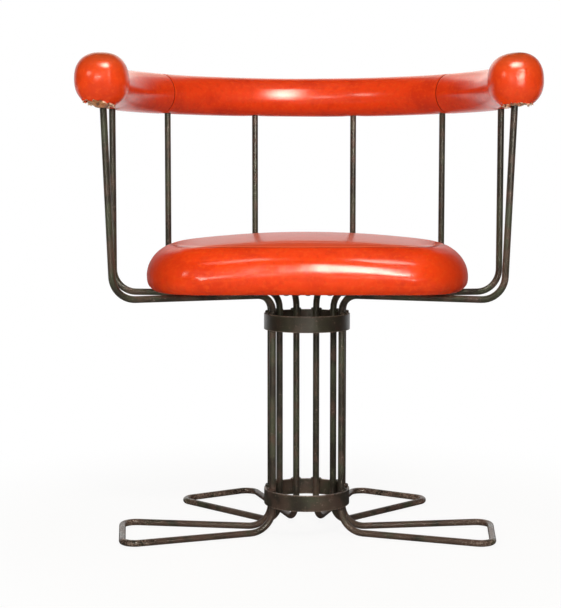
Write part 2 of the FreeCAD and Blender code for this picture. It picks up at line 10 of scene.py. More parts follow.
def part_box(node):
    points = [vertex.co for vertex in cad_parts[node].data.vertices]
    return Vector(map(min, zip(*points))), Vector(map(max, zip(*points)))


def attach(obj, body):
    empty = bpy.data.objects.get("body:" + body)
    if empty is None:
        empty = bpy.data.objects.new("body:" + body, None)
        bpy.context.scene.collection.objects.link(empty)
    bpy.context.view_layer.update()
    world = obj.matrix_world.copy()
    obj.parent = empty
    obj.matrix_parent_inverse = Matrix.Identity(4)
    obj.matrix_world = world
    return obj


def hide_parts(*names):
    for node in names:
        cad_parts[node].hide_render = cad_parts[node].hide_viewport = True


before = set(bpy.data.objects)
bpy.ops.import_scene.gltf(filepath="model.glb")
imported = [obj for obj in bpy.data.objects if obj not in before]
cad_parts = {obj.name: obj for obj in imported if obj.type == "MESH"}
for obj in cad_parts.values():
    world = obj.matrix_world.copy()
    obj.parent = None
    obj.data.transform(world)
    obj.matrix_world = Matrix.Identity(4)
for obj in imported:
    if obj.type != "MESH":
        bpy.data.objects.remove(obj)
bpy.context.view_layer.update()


# Frame rods: four lengths of 10 mm round iron, each bent cold into two uprights, two column rods
# and a foot loop. The old black finish has gone green in patches and rusts where it is rubbed. The
# pale rubbed patches, most of them near the toes, are partly wear and partly painted highlight.
class Shade:
    """A shader value: each operator on it adds one Math node to its tree."""

    def __init__(self, tree, socket):
        self.tree = tree
        self.socket = socket

    def add(self, kind, inputs, out=0, **settings):
        """One node of a kind, with its settings and the values or links of its sockets."""
        node = self.tree.nodes.new("ShaderNode" + kind)
        for name, value in settings.items():
            setattr(node, name, value)
        for key, value in inputs.items():
            if isinstance(value, Shade):
                self.tree.links.new(value.socket, node.inputs[key])
            else:
                node.inputs[key].default_value = value
        return Shade(self.tree, node.outputs[out])

    def math(self, operation, first, second=0.0):
        return self.add("Math", {0: first, 1: second}, operation=operation)

    def __add__(self, other):
        return self.math("ADD", self, other)

    def __sub__(self, other):
        return self.math("SUBTRACT", self, other)

    def __rsub__(self, other):
        return self.math("SUBTRACT", other, self)

    def __mul__(self, other):
        return self.math("MULTIPLY", self, other)

    def __abs__(self):
        return self.math("ABSOLUTE", self)

    __radd__ = __add__
    __rmul__ = __mul__


def open_material(name):
    """A material, its shader and the Object coordinates that its patterns start from."""
    material = bpy.data.materials.new(name)
    material.use_nodes = True
    tree = material.node_tree
    place = Shade(tree, tree.nodes.new("ShaderNodeTexCoord").outputs["Object"])
    return material, tree.nodes["Principled BSDF"], place


def set_finish(shader, **constants):
    """Values that are the same all over a surface, set on the shader's own sockets."""
    for name, value in constants.items():
        shader.inputs[name.replace("_", " ").title().replace("Ior", "IOR")].default_value = value


def feed(shader, colour, roughness, height, depth, coat=None):
    """Lead what varies over a surface into its shader."""
    links = height.tree.links
    links.new(colour.socket, shader.inputs["Base Color"])
    links.new(roughness.socket, shader.inputs["Roughness"])
    relief = height.add("Bump", {"Strength": 1.0, "Distance": depth, "Height": height})
    links.new(relief.socket, shader.inputs["Normal"])
    if coat:
        links.new(coat.socket, shader.inputs["Coat Weight"])


def cloud(place, scale, detail=4.0):
    """Soft noise from 0 to 1, with so many features to the metre."""
    return place.add("TexNoise", {"Vector": place, "Scale": scale, "Detail": detail})


def slope(value, low, high):
    """0 below low and 1 above high, with a smooth slope between."""
    limits = {"Value": value, "From Min": low, "From Max": high}
    return value.add("MapRange", limits, interpolation_type="SMOOTHSTEP")


def over(mask, under, top):
    """One colour over another, where the mask is 1."""
    return mask.add("Mix", {0: mask, 6: under, 7: top}, out=2, data_type="RGBA")


def axis_of(place, axis):
    """One coordinate of a place."""
    return place.add("SeparateXYZ", {0: place}, out=axis)


def far_from(place, spot=(0, 0, 0)):
    """How far a place is from a spot."""
    return place.add("VectorMath", {0: place, 1: spot}, out="Value", operation="DISTANCE")


BLACKENED = (0.028, 0.023, 0.018, 1)
GREENED = (0.050, 0.054, 0.034, 1)
BROWNED = (0.080, 0.047, 0.036, 1)
RUBBED_AND_HIGHLIT = (0.240, 0.175, 0.145, 1)
PAINTED_SHADE_COLOUR = (0.018, 0.013, 0.008, 1)
FLOOR_WEAR = 0.10
FOOT_WEAR_AND_HIGHLIGHT = (0.20, 0.29)
EDGE_WEAR = (0.0003, 0.0016)
PIT_SCALE = 380
IRON_RELIEF = 0.00030
IRON_GLOSS = 0.65


def old_iron(name, edges=(), painted_shade=0.0):
    """Blackened iron gone green and brown, pitted, and rubbed at the feet and at edges of some heights, its
    pale rubbed spots partly painted highlight; a share of painted shade darkens it.
    """
    material, shader, place = open_material(name)
    height = axis_of(place, "Z")
    patches = cloud(place, 21, 6)
    grain = cloud(place, 480, 6)
    green = slope(patches + grain * 0.16, 0.50, 0.70)
    near_floor = 1 - slope(height, 0.0, FLOOR_WEAR)
    brown = slope(cloud(place, 38, 7) + near_floor * 0.16 + grain * 0.10, 0.54, 0.72)
    colour = over(green, BLACKENED, GREENED)
    colour = over(brown * 0.8, colour, BROWNED)
    # Painted shade: the whole colour is mixed towards near black by this share.
    colour = place.add("Mix", {0: painted_shade, 6: colour, 7: PAINTED_SHADE_COLOUR}, out=2, data_type="RGBA")
    # The pale patches below, near the toes and at some edges, are partly rubbed wear and partly painted
    # highlight.
    trodden_and_highlit = slope(far_from(place), *FOOT_WEAR_AND_HIGHLIGHT) * near_floor
    rubbed_and_highlit = slope(grain * 0.7 + cloud(place, 120, 5) * 0.6 + trodden_and_highlit * 0.16, 0.76, 0.92) * 0.75
    for edge in edges:
        worn = (1 - slope(abs(height - edge), *EDGE_WEAR)) * slope(grain + patches * 0.4, 0.58, 0.76)
        rubbed_and_highlit = rubbed_and_highlit.math("MAXIMUM", rubbed_and_highlit, worn * 0.8)
    colour = over(rubbed_and_highlit, colour, RUBBED_AND_HIGHLIT)
    pits = place.add("TexVoronoi", {"Vector": place, "Scale": PIT_SCALE})
    relief = grain * 0.5 + slope(pits, 0.0, 0.35) * 0.4 + cloud(place, 110) * 0.7
    feed(shader, colour, 0.27 + 0.14 * patches + 0.12 * brown - 0.14 * trodden_and_highlit, relief, IRON_RELIEF)
    set_finish(shader, specular_ior_level=IRON_GLOSS)
    return material


def finish_nodes(material, *names):
    """Give nodes of the frame their finish."""
    for name in names:
        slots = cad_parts[name].data.materials
        slots.clear()
        slots.append(material)


finish_nodes(old_iron("rod_iron"), "front_left_rod", "rear_left_rod", "rear_right_rod", "front_right_rod")

# Column bands: two hoops of flat bar, 24 mm wide, that hold the eight rods in a ring. Their rims
# are rubbed to a paler brown, which is partly painted highlight. Painted shade darkens both bands,
# the upper one most, where it lies under the seat.
BAND_PAINTED_SHADE = {"upper_band": 0.60, "lower_band": 0.30}
for band, painted_shade in BAND_PAINTED_SHADE.items():
    band_low, band_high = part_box(band)
    finish_nodes(old_iron(band + "_iron", (band_low.z, band_high.z), painted_shade), band)

# Weld beads: each column rod is tacked to the top edge of both bands with a short lumpy run of
# weld, laid on the outside and blackened over with the rest.
ROD_RADIUS = 0.005
BAND_WALL = 0.004
UPRIGHT_STEP = 32
UPRIGHT_ANGLES = [radians(UPRIGHT_STEP * (step + 0.5)) for step in range(-4, 4)]
BEAD_DROPS = 9
BEAD_TURN = radians(165)
DROP_RADIUS = 0.0021
DROP_SINK = (0.6, 0.95)
DROP_SIZES = (0.8, 1.2)
DROP_RISE = (0.2, 0.8)
RUN_KINDS = 3
BEAD_VOXEL = 0.0005
column_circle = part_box("lower_band")[1].x - BAND_WALL - ROD_RADIUS
weld_iron = old_iron("weld_iron")


def edit():
    """Go into edit mode, with what is selected."""
    bpy.ops.object.mode_set(mode="EDIT")


def edit_all():
    """Go into edit mode, with everything selected."""
    edit()
    bpy.ops.mesh.select_all(action="SELECT")


def leave_edit():
    """Go back to object mode."""
    bpy.ops.object.mode_set(mode="OBJECT")


def start_alone():
    """Leave nothing selected, so that an operator acts only on what is made next."""
    if bpy.context.object and bpy.context.object.mode != "OBJECT":
        leave_edit()
    bpy.ops.object.select_all(action="DESELECT")


def pick(*pieces):
    """Select these pieces alone and make the first one active."""
    start_alone()
    for piece in pieces:
        piece.select_set(True)
    bpy.context.view_layer.objects.active = pieces[0]


def apply_modifier(piece, kind, **settings):
    """Add a modifier to a piece, set it up and apply it."""
    pick(piece)
    modifier = piece.modifiers.new(kind.lower(), kind)
    for name, value in settings.items():
        setattr(modifier, name, value)
    bpy.ops.object.modifier_apply(modifier=modifier.name)


def make_join(name, pieces, material=None):
    """Join pieces into one, with a name and a finish."""
    pick(*pieces)
    bpy.ops.object.join()
    whole = bpy.context.object
    whole.name = name
    if material:
        whole.data.materials.append(material)
    return whole


def settle():
    """Put the active piece's place into its mesh, and give the piece."""
    bpy.ops.object.transform_apply(location=True, rotation=True, scale=True)
    return bpy.context.object


def weld_run(seed):
    """One run of weld round the outside of a rod that stands on the origin, facing +Y."""
    draw = random.Random(seed)
    drops = []
    for step in range(BEAD_DROPS):
        turn = BEAD_TURN * (step / (BEAD_DROPS - 1) - 0.5)
        reach = ROD_RADIUS + DROP_RADIUS * draw.uniform(*DROP_SINK)
        start_alone()
        bpy.ops.mesh.primitive_ico_sphere_add(
            subdivisions=2, radius=DROP_RADIUS * draw.uniform(*DROP_SIZES),
            location=(reach * sin(turn), reach * cos(turn), DROP_RADIUS * draw.uniform(*DROP_RISE)))
        drops.append(bpy.context.object)
    make_join("weld_run", drops)
    run = settle()
    apply_modifier(run, "REMESH", mode="VOXEL", voxel_size=BEAD_VOXEL, use_smooth_shade=True)
    apply_modifier(run, "SMOOTH", factor=0.5, iterations=3)
    return run


def copied(piece, name, placing):
    """A copy of a piece with its own mesh, put somewhere else."""
    twin = bpy.data.objects.new(name, piece.data.copy())
    bpy.context.scene.collection.objects.link(twin)
    twin.data.transform(placing)
    return twin


patterns = [weld_run(number) for number in range(RUN_KINDS)]
for band in BAND_PAINTED_SHADE:
    runs = []
    for number, angle in enumerate(UPRIGHT_ANGLES):
        foot = Vector((column_circle * sin(angle), column_circle * cos(angle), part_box(band)[1].z))
        placing = Matrix.Translation(foot) @ Matrix.Rotation(-angle, 4, "Z")
        runs.append(copied(patterns[number % RUN_KINDS], f"{band}_run_{number}", placing))
    beads = make_join(band + "_beads", runs, weld_iron)
    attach(beads, "root")
    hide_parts(band + "_welds")
for pattern in patterns:
    bpy.data.objects.remove(pattern)

# Rail core: a bar of the same iron inside the padded rail, with the uprights welded under it. It
# shows only through the torn ends.
finish_nodes(old_iron("core_iron"), "rail_core", "core_welds")

# Rail stuffing: a firm brown felt roll round the core bar, with a ball at each end. The torn
# leather under the balls lets it show.
ROLL_SIDES = 48
SEAM_ANGLE = radians(51)
ARM_ANGLE = radians(80)
ARM_ARC = 0.410
ARM_END_ANGLE = radians(101.2)
NECK_RADIUS = 0.040
LEATHER = 0.0016
STUFFING_GAP = 0.0010
back_low, back_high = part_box("rail_cover_back")
arm_low, arm_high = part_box("rail_cover_right_arm")
rail_height = (back_low.z + back_high.z) / 2
roll_radius = (back_high.z - back_low.z) / 2
rail_circle = back_high.y - roll_radius
ball_radius = (arm_high.z - arm_low.z) / 2


def outward(angle):
    """The level direction at a plan angle, counted from the back (+Y) towards +X."""
    return Vector((sin(angle), cos(angle), 0))


def forward(angle):
    """The level direction in which plan angles grow."""
    return Vector((cos(angle), -sin(angle), 0))


up = Vector((0, 0, 1))
axis_point = up * rail_height
arm_centre = axis_point + outward(ARM_ANGLE) * (rail_circle - ARM_ARC)
arm_end = arm_centre + outward(ARM_END_ANGLE) * ARM_ARC
arm_heading = forward(ARM_END_ANGLE)


def ball_centre(tube, ball):
    """How far past the arm's end a ball's middle is, for a tube and ball of some size."""
    return sqrt((NECK_RADIUS + ball) ** 2 - (NECK_RADIUS + tube) ** 2)


knob_place = arm_end + arm_heading * ball_centre(roll_radius, ball_radius)


def ball_middle(side):
    """The middle of the ball on one side: 1 is right and -1 is left."""
    return Vector((side * knob_place.x, knob_place.y, knob_place.z))


def ring_at(angle, radius):
    """Start a piece from a circle square across the rail, and leave its edge selected."""
    start_alone()
    bpy.ops.mesh.primitive_circle_add(
        vertices=ROLL_SIDES, radius=radius, location=axis_point + outward(angle) * rail_circle,
        rotation=(pi / 2, 0, pi / 2 - angle))
    ring = settle()
    edit_all()
    return ring


def spin_on(turn, centre, steps):
    """Carry the selected edge round an upright axis."""
    bpy.ops.mesh.spin(steps=steps, angle=turn, center=centre, axis=up)


def next_ring(centre, advance, ratio):
    """Extrude the selected ring by a move and a change of size, and give its new centre."""
    bpy.ops.mesh.extrude_edges_move(TRANSFORM_OT_translate={"value": advance})
    bpy.ops.transform.resize(value=(ratio, ratio, ratio), center_override=centre + advance)
    return centre + advance


NECK_STEPS = 3
BALL_STEPS = 12
CAP_ANGLE = radians(34)
CAP_ROUNDS = 5


def ball_on(tube, ball):
    """Extrude the selected end of an arm into a neck and a ball, closed by a grid of faces."""
    middle = ball_centre(tube, ball)
    neck_end = NECK_RADIUS * middle / (NECK_RADIUS + ball)
    neck = [neck_end * step / NECK_STEPS for step in range(1, NECK_STEPS + 1)]
    rings = [(far, tube + NECK_RADIUS - sqrt(NECK_RADIUS ** 2 - far ** 2)) for far in neck]
    first = acos((neck_end - middle) / ball)
    for step in range(1, BALL_STEPS + 1):
        turn = first + (CAP_ANGLE - first) * step / BALL_STEPS
        rings.append((middle + ball * cos(turn), ball * sin(turn)))
    centre, far, radius = arm_end, 0.0, tube
    for next_far, next_radius in rings:
        centre = next_ring(centre, arm_heading * (next_far - far), next_radius / radius)
        far, radius = next_far, next_radius
    bpy.ops.mesh.fill_grid(span=ROLL_SIDES // 4)
    leave_edit()
    mesh = bpy.context.object.data
    ball_place = arm_end + arm_heading * middle
    cap = {vertex.index for vertex in mesh.vertices
           if (vertex.co - ball_place).angle(arm_heading, 0.0) < CAP_ANGLE - 0.01}
    for _ in range(CAP_ROUNDS):
        for vertex in mesh.vertices:
            vertex.select = vertex.index in cap
        edit()
        bpy.ops.mesh.vertices_smooth(factor=0.5, repeat=4)
        leave_edit()
        for index in cap:
            apart = mesh.vertices[index].co - ball_place
            mesh.vertices[index].co = ball_place + apart.normalized() * ball


def face_outwards(piece):
    """Close doubled points and turn every face outwards."""
    pick(piece)
    edit_all()
    bpy.ops.mesh.remove_doubles(threshold=0.00001)
    bpy.ops.mesh.normals_make_consistent(inside=False)
    leave_edit()
    bpy.ops.object.shade_smooth()


def mirrored_copy(piece, name):
    """The same piece for the chair's left side, with its own mesh."""
    other = copied(piece, name, Matrix.Scale(-1, 4, (1, 0, 0)))
    face_outwards(other)
    return other


FELT_BROWN = (0.42, 0.150, 0.044, 1)
FELT_TAN = (0.60, 0.31, 0.125, 1)
FELT_PAINTED_SHADE = (0.12, 0.045, 0.016, 1)


def felt():
    """Matted brown fibre with pale tufts and patches of painted shade for the hollows between them."""
    material, shader, place = open_material("brown_felt")
    tufts = cloud(place, 260, 6)
    colour = over(slope(tufts, 0.50, 0.68), FELT_BROWN, FELT_TAN)
    # Painted shade: dark patches stand for the hollows between the tufts.
    colour = over(1 - slope(cloud(place, 120, 5), 0.36, 0.50), colour, FELT_PAINTED_SHADE)
    feed(shader, colour, 0.85 + 0.1 * tufts, tufts + cloud(place, 900, 4) * 0.6, 0.0012)
    set_finish(shader, sheen_weight=0.3, sheen_roughness=0.5)
    return material


SPILL = {-1: 0.0045, 1: 0.0012}
SPILL_SPREAD = radians(30)
SPILL_HEADING = Vector((-0.10, -0.10, -1))
FELT_HOLLOW = 0.0025
FELT_BACK_STEPS = 40
FELT_ARM_STEPS = 14
stuffing_roll = roll_radius - LEATHER - STUFFING_GAP
stuffing_ball = ball_radius - LEATHER - STUFFING_GAP
right_half = ring_at(0, stuffing_roll)
spin_on(ARM_ANGLE, axis_point, FELT_BACK_STEPS)
spin_on(ARM_END_ANGLE - ARM_ANGLE, arm_centre, FELT_ARM_STEPS)
ball_on(stuffing_roll, stuffing_ball)
face_outwards(right_half)
left_half = mirrored_copy(right_half, "left_half")
stuffing = make_join("rail_stuffing", [right_half, left_half])
face_outwards(stuffing)


def push_out(piece, amount):
    """Move every point along its normal by what a rule gives for it."""
    moves = [vertex.normal * amount(vertex) for vertex in piece.data.vertices]
    for vertex, move in zip(piece.data.vertices, moves):
        vertex.co += move


def felt_relief(vertex):
    """Hollows between the tufts, and the spill of felt that hangs out of a tear."""
    side = copysign(1, vertex.co.x)
    spill = max(0.0, 1 - (vertex.co - ball_middle(side)).angle(SPILL_HEADING) / SPILL_SPREAD)
    hollow = FELT_HOLLOW * abs(noise.noise(vertex.co * 160))
    return SPILL[side] * spill ** 0.6 * (0.8 + noise.noise(vertex.co * 90)) - hollow


push_out(stuffing, felt_relief)
stuffing.data.materials.append(felt())
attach(stuffing, "root")
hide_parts("rail_padding")

# Rail leather: glossy orange-red hide, wrapped round the stuffing and sewn along its underside, in
# a back length and two arm lengths that meet at turned-in seams. Each arm goes on over its ball.
LEATHER_ORANGE = (0.79, 0.046, 0.0022, 1)
LEATHER_DEEP = (0.55, 0.022, 0.0015, 1)
LEATHER_LIGHT = (0.82, 0.078, 0.0060, 1)
LEATHER_HANDLED = (0.34, 0.072, 0.0150, 1)
CROWN_REACH = (0.022, 0.082)


def hide_colour(place):
    """The uneven dye of the hide: broad deep patches, brown scuffs and fine pale flecks."""
    mottle = cloud(place, 19, 7)
    fleck = cloud(place, 190, 7)
    colour = over(slope(mottle, 0.44, 0.70) * 0.55, LEATHER_ORANGE, LEATHER_DEEP)
    colour = over(slope(fleck, 0.48, 0.68) * 0.5, colour, LEATHER_LIGHT)
    scuffs = slope(cloud(place, 110, 9) + fleck * 0.4, 0.70, 0.92)
    return mottle, fleck, over(scuffs * 0.35, colour, LEATHER_DEEP)


def hide_grain(place):
    """The grain of the hide: fine pores, shallow creases and the lumps of the stuffing."""
    pores = place.add("TexVoronoi", {"Vector": place, "Scale": 900})
    fine = slope(pores, 0.0, 0.5) * 0.30 + cloud(place, 330, 3) * 0.6 + cloud(place, 75, 2) * 0.9
    return fine + cloud(place, 27, 2) * 2.6


GRAIN_DEPTH = 0.00016
UNDER_POLISH = 0.05
RAIL_POLISH = {"coat_roughness": 0.22, "coat_ior": 1.8}
SEAM_SHADE_REACH = (0.0004, 0.0014)
SEAM_DULL = (0.0012, 0.0030)
PAINTED_SEAM_SHADE = (0.10, 0.010, 0.004, 1)
LEATHER_HELD = (0.60, 0.075, 0.0140, 1)


def rail_hide():
    """Polished orange hide with painted shade along its seams, gone brown and dull on the balls."""
    material, shader, place = open_material("rail_hide")
    mottle, fleck, colour = hide_colour(place)
    apart = abs(abs(axis_of(place, "X")) * cos(SEAM_ANGLE) - axis_of(place, "Y") * sin(SEAM_ANGLE))
    # A dark line is painted along each seam as the shade in its groove.
    seam = 1 - slope(apart, *SEAM_SHADE_REACH)

    def on_ball(side):
        return 1 - slope(far_from(place, ball_middle(side)), ball_radius * 1.05, ball_radius * 1.5)

    def on_crown(side):
        away = far_from(place, ball_middle(side) + up * ball_radius) + fleck * 0.020 + mottle * 0.020
        return 1 - slope(away, *CROWN_REACH)

    held = on_ball(-1) + on_ball(1)
    handled = on_crown(-1) + on_crown(1)
    colour = over(held * 0.15, colour, LEATHER_HELD)
    colour = over(handled * (0.60 + 0.6 * fleck), colour, LEATHER_HANDLED)
    colour = over(seam * 0.8, colour, PAINTED_SEAM_SHADE)
    polish = (0.82 - 0.27 * held) * slope(apart, *SEAM_DULL)
    feed(shader, colour, 0.42 + 0.12 * mottle - 0.06 * held, hide_grain(place), GRAIN_DEPTH, polish)
    set_finish(shader, specular_ior_level=UNDER_POLISH, **RAIL_POLISH)
    return material


RAW_PALE = (0.82, 0.62, 0.46, 1)
RAW_BROWN = (0.50, 0.15, 0.060, 1)


def patchy(name, sound, worn, wear, edge, relief, rough, depth, fibrous=False, metallic=0.0):
    """A finish worn or soiled in patches: scale and detail of wear and relief, and the wear's edge."""
    material, shader, place = open_material(name)
    gone = slope(cloud(place, *wear), *edge)
    grain = cloud(place, *relief)
    feed(shader, over(gone, sound, worn), rough[0] + rough[1] * (grain if fibrous else gone), grain, depth)
    set_finish(shader, metallic=metallic)
    return material


orange_leather = rail_hide()
raw_edge = patchy("raw_leather_edge", RAW_PALE, RAW_BROWN, wear=(90, 4), edge=(0.50, 0.66),
                  relief=(500, 5), rough=(0.8, 0.15), depth=0.0008, fibrous=True)
SLACK = 0.0002
LIP_DEPTH = 0.0018
LIP_STEPS = ((0.0002, 0.50), (0.0005, 0.14), (0.0012, 0.0))
LIP_ENDS = ((0.0012, 0.14), (0.0005, 0.50), (0.0002, 1.0))


def lip(angle, radius, size, steps):
    """Carry the selected ring on by some steps, each turned in by its share of the lip's depth."""
    centre = axis_point + outward(angle) * rail_circle
    for advance, share in steps:
        turned_in = radius - LIP_DEPTH * share
        centre = next_ring(centre, forward(angle) * advance, turned_in / size)
        size = turned_in


def lip_open(angle, radius):
    """Start a length of leather at a seam: from its turned-in edge out to the full roll."""
    piece = ring_at(angle, radius - LIP_DEPTH)
    lip(angle, radius, radius - LIP_DEPTH, LIP_STEPS)
    return piece


def lip_close(angle, radius):
    """End a length of leather at a seam, turned in the same way."""
    leave_edit()
    edit()
    lip(angle, radius, radius, LIP_ENDS)
    leave_edit()


def line_offset(point):
    """How far out of the rail's centre line a point lies in plan."""
    plan = Vector((abs(point.x), point.y))
    if atan2(plan.x, plan.y) <= ARM_ANGLE:
        return plan.length - rail_circle
    return (plan - arm_centre.xy).length - ARM_ARC


def on_roll(point):
    """Whether a point is on the roll of the rail, and not on one of its balls."""
    return (Vector((abs(point.x), point.y, point.z)) - arm_end).dot(arm_heading) < 0


def upright_at(angle):
    """Where the line of one upright goes into the rail."""
    turn = abs(angle)
    reach = rail_circle
    if turn > ARM_ANGLE:
        away = ARM_ARC - rail_circle
        across = away * sin(turn - ARM_ANGLE)
        reach = sqrt(ARM_ARC ** 2 - across ** 2) - away * cos(turn - ARM_ANGLE)
    return outward(angle) * reach


PRESSURE = 4.0
SIM_FRAMES = 20
HIDE_CLOTH = {"quality": 6, "mass": 0.4, "tension_stiffness": 40, "compression_stiffness": 40,
              "bending_stiffness": 4, "use_pressure": True, "uniform_pressure_force": PRESSURE,
              "vertex_group_mass": "held"}


def swell(piece, held, cap):
    """Fill a skin by cloth simulation: held points stay, and no other moves further than the cap."""
    before = [vertex.co.copy() for vertex in piece.data.vertices]
    piece.vertex_groups.new(name="held").add(held, 1.0, "REPLACE")
    pick(piece)
    cloth = piece.modifiers.new("swell", "CLOTH")
    for name, value in HIDE_CLOTH.items():
        setattr(cloth.settings, name, value)
    cloth.settings.effector_weights.gravity = 0
    cloth.collision_settings.use_collision = False
    for number in range(1, SIM_FRAMES + 1):
        bpy.context.scene.frame_set(number)
    bpy.ops.object.modifier_apply(modifier=cloth.name)
    bpy.context.scene.frame_set(1)
    piece.vertex_groups.clear()
    for vertex, old in zip(piece.data.vertices, before):
        move = vertex.co - old
        if move.length > cap:
            vertex.co = old + move.normalized() * cap


GROOVE_WIDTH = 0.0020
GROOVE_DEPTH = 0.0005
PUCKER_REACH = 0.011
PUCKER_DEPTH = 0.0016
PUCKER_FOLDS = 7
ROLL_LUMPS = 0.0004
BALL_LUMPS = 0.0022
BALL_POWER = 2.28


def shape_leather(piece, feet):
    """Hand-work the hide: uneven stuffing, the underside seam, and puckers where uprights go in."""

    def worked(vertex):
        roll = on_roll(vertex.co)
        lumps = (ROLL_LUMPS if roll else BALL_LUMPS) * noise.noise(vertex.co * (12 if roll else 21))
        if not roll:
            way = Vector((abs(vertex.co.x), vertex.co.y, vertex.co.z)) - knob_place
            past_neck = min(1.0, max(0.0, 1 + way.dot(arm_heading) / ball_radius))
            way.normalize()
            squared = sum(abs(part) ** BALL_POWER for part in way) ** (-1 / BALL_POWER) - 1
            lumps += ball_radius * squared * past_neck ** 2
        if roll and vertex.co.z < rail_height:
            offset = line_offset(vertex.co)
            lumps -= GROOVE_DEPTH * exp(-(offset / GROOVE_WIDTH) ** 2)
            for foot in feet:
                apart = (vertex.co - foot).xy
                fold = 1 + 0.5 * cos(PUCKER_FOLDS * atan2(apart.y, apart.x))
                lumps -= PUCKER_DEPTH * fold * exp(-(apart.length / PUCKER_REACH) ** 2)
        return lumps

    push_out(piece, worked)


def edit_none(piece, kind):
    """Go into edit mode to select points, edges or faces of a piece, with none selected yet."""
    pick(piece)
    edit()
    bpy.ops.mesh.select_mode(type=kind)
    bpy.ops.mesh.select_all(action="DESELECT")


def choose_faces(piece, wanted):
    """Select the faces that pass a test, and stay in edit mode."""
    edit_none(piece, "FACE")
    leave_edit()
    for face in piece.data.polygons:
        face.select = wanted(face)
    edit()


def delete_faces(piece, doomed):
    """Delete the faces that pass a test."""
    choose_faces(piece, doomed)
    bpy.ops.mesh.delete(type="FACE")
    bpy.ops.mesh.select_mode(type="VERT")
    leave_edit()


def open_edge_points(piece):
    """The points on a mesh's open edges."""
    edit_none(piece, "VERT")
    bpy.ops.mesh.select_non_manifold()
    leave_edit()
    return [vertex for vertex in piece.data.vertices if vertex.select]


HOLE_RADIUS = ROD_RADIUS + 0.0004


def at_rod(point, feet):
    """Whether a point of the underside is where one of the uprights goes in."""
    return point.z < rail_height and any((point - foot).xy.length < ROD_RADIUS for foot in feet)


def open_for(piece, feet):
    """Open the underside round each upright, with the edge of the leather close about the rod."""
    delete_faces(piece, lambda face: at_rod(face.center, feet))
    for vertex in open_edge_points(piece):
        for foot in feet:
            apart = Vector((vertex.co.x - foot.x, vertex.co.y - foot.y, 0))
            if vertex.co.z < rail_height and apart.length < 2 * HOLE_RADIUS:
                vertex.co += apart.normalized() * (HOLE_RADIUS - apart.length)


def refine(piece):
    """Split every face of a piece in four and round its mesh off."""
    apply_modifier(piece, "SUBSURF", levels=1, render_levels=1)


def finish_leather(piece, hide):
    """Give the hide its thickness, its two finishes and its place on the chair."""
    piece.data.materials.append(hide)
    piece.data.materials.append(raw_edge)
    apply_modifier(piece, "SOLIDIFY", thickness=LEATHER, offset=-1, material_offset_rim=1)
    bpy.ops.object.shade_smooth()
    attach(piece, "root")


def held_points(piece, feet):
    """Points that the stitching and the uprights hold: seam lips, underside seam and rod holes."""
    held = []
    for vertex in piece.data.vertices:
        offset = line_offset(vertex.co)
        depth = hypot(offset, vertex.co.z - rail_height)
        plan_angle = atan2(abs(vertex.co.x), vertex.co.y)
        in_lip = plan_angle < ARM_ANGLE and depth < roll_radius - SLACK - 0.3 * LIP_DEPTH
        in_seam = on_roll(vertex.co) and vertex.co.z < rail_height and abs(offset) < GROOVE_WIDTH
        if in_lip or in_seam or at_rod(vertex.co, feet):
            held.append(vertex.index)
    return held


ROLL_CAP = 0.0018
BACK_FEET = [upright_at(angle) for angle in UPRIGHT_ANGLES if abs(angle) < SEAM_ANGLE]
ARM_ANGLES = [angle for angle in UPRIGHT_ANGLES if angle > SEAM_ANGLE]
BACK_STEPS = 100
ARM_STEPS = 28
slack_roll = roll_radius - SLACK
slack_ball = ball_radius - SLACK
lip_turn = sum(advance for advance, share in LIP_STEPS) / rail_circle
SEAM_PARTING = 0.0002 / rail_circle

back = lip_open(-SEAM_ANGLE + SEAM_PARTING, slack_roll)
spin_on(2 * (SEAM_ANGLE - SEAM_PARTING - lip_turn), axis_point, BACK_STEPS)
lip_close(SEAM_ANGLE - SEAM_PARTING - lip_turn, slack_roll)
back.name = "rail_leather_back"
face_outwards(back)
swell(back, held_points(back, BACK_FEET), ROLL_CAP)
refine(back)
shape_leather(back, BACK_FEET)
open_for(back, BACK_FEET)
finish_leather(back, orange_leather)
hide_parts("rail_cover_back")

right_arm = lip_open(SEAM_ANGLE + SEAM_PARTING, slack_roll)
spin_on(ARM_ANGLE - SEAM_ANGLE - SEAM_PARTING - lip_turn, axis_point, ARM_STEPS)
spin_on(ARM_END_ANGLE - ARM_ANGLE, arm_centre, ARM_STEPS)
ball_on(slack_roll, slack_ball)
right_arm.name = "rail_leather_right_arm"
face_outwards(right_arm)
swell(right_arm, held_points(right_arm, [upright_at(angle) for angle in ARM_ANGLES]), ROLL_CAP)
refine(right_arm)
for vertex in right_arm.data.vertices:
    apart = vertex.co - knob_place
    if apart.dot(arm_heading) > 0 and apart.length < ball_radius:
        vertex.co = knob_place + apart.normalized() * ball_radius
left_arm = mirrored_copy(right_arm, "rail_leather_left_arm")

# Torn ends: under each ball the leather has split round the front upright, and its raw edge has
# frayed and curled.
TEAR_SPREAD = {1: radians(31), -1: radians(33)}
TEAR_HEADING = {1: Vector((0.06, -0.06, -1)).normalized(), -1: Vector((-0.15, -0.15, -1)).normalized()}
TEAR_RAG = radians(6)
CURL = 0.0026
CURL_REACH = radians(12)


def tear_edge(point, side):
    """How far outside the ragged edge of the tear a point lies, as an angle about the ball's middle."""
    rag = noise.noise(point * 170) + 0.6 * noise.noise(point * 420)
    spread = TEAR_SPREAD[side] + TEAR_RAG * rag
    return (point - ball_middle(side)).angle(TEAR_HEADING[side]) - spread


